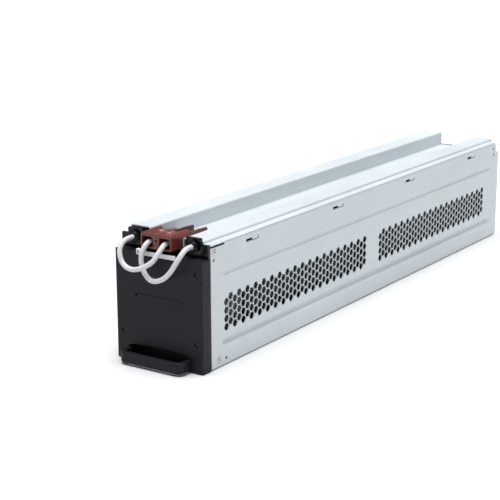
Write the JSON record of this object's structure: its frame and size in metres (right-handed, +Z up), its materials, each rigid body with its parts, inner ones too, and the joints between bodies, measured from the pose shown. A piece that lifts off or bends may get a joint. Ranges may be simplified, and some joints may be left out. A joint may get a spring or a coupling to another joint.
{
  "type": "server rack battery module",
  "caption": "Slim sheet-metal battery module with a black pull-handle front, a profiled slide-off cover and a two-pole power connector on short leads.",
  "frame": {"origin": "middle of the underside, halfway between the handle's front and the rear screws' heads", "axes": "+Y from the handle to the rear, +Z up, +X to the right seen from the front"},
  "size_m": [0.1058, 0.6782, 0.1333],
  "materials": {
    "galvanised_sheet": "zinc coated sheet, fine directional grain",
    "panel_plastic": "satin black moulding with a fine grain",
    "black_nylon": "moulded nylon, light sheen",
    "connector_plastic": "red-brown polycarbonate, satin",
    "silvered_copper": "silver plate over copper",
    "stainless": "bright stainless",
    "lead_insulation": "smooth white-grey insulation",
    "natural_nylon": "natural nylon",
    "block_case": "dark grey moulded case",
    "wiring_red": "red insulation",
    "wiring_black": "black insulation",
    "foam": "grey foam",
    "film": "translucent insulating film",
    "screw_steel": "black zinc"
  },
  "bodies": {
    "base": {"base_tray": "galvanised_sheet", "front_bulkhead": "galvanised_sheet", "rear_cap": "galvanised_sheet", "front_panel": "panel_plastic", "pull_handle": "panel_plastic", "connector_bracket": "black_nylon", "gland_body_left": "black_nylon", "gland_body_right": "black_nylon", "gland_nut_left": "black_nylon", "gland_nut_right": "black_nylon", "gland_locknut_left": "black_nylon", "gland_locknut_right": "black_nylon", "string_fuse": "black_nylon", "side_rivet_left_upper": "stainless", "side_rivet_left_lower": "stainless", "side_rivet_right_upper": "stainless", "side_rivet_right_lower": "stainless", "cable_tie": "natural_nylon", "battery_1": "block_case", "battery_2": "block_case", "battery_3": "block_case", "battery_4": "block_case", "battery_5": "block_case", "battery_6": "block_case", "battery_7": "block_case", "battery_8": "block_case", "jumper_2": "wiring_red", "jumper_6": "wiring_red", "fuse_lead_front": "wiring_red", "fuse_lead_rear": "wiring_red", "positive_lead": "wiring_red", "jumper_1": "wiring_black", "jumper_3": "wiring_black", "jumper_5": "wiring_black", "jumper_7": "wiring_black", "negative_lead": "wiring_black", "rear_pad": "foam", "front_spacer": "foam", "side_pad_left": "foam", "side_pad_right": "foam", "floor_liner": "film", "front_screw_1": "screw_steel", "front_screw_2": "screw_steel", "front_screw_3": "screw_steel", "front_screw_4": "screw_steel", "rear_screw_1": "screw_steel", "rear_screw_2": "screw_steel", "rear_screw_3": "screw_steel", "rear_screw_4": "screw_steel"},
    "cover": {"top_cover": "galvanised_sheet", "cover_insulator": "film"},
    "connector": {"connector_housing": "connector_plastic", "contact_left": "silvered_copper", "contact_right": "silvered_copper", "contact_spring_left": "stainless", "contact_spring_right": "stainless", "lead_left": "lead_insulation", "lead_right": "lead_insulation"}
  },
  "joints": [
    {"name": "cover_slide", "type": "slide", "parent": "base", "child": "cover", "axis": [0, 1, 0], "range_m": [0, 0.012]},
    {"name": "connector_pull", "type": "slide", "parent": "base", "child": "connector", "axis": [0, -1, 0], "range_m": [0, 0.014]}
  ]
}
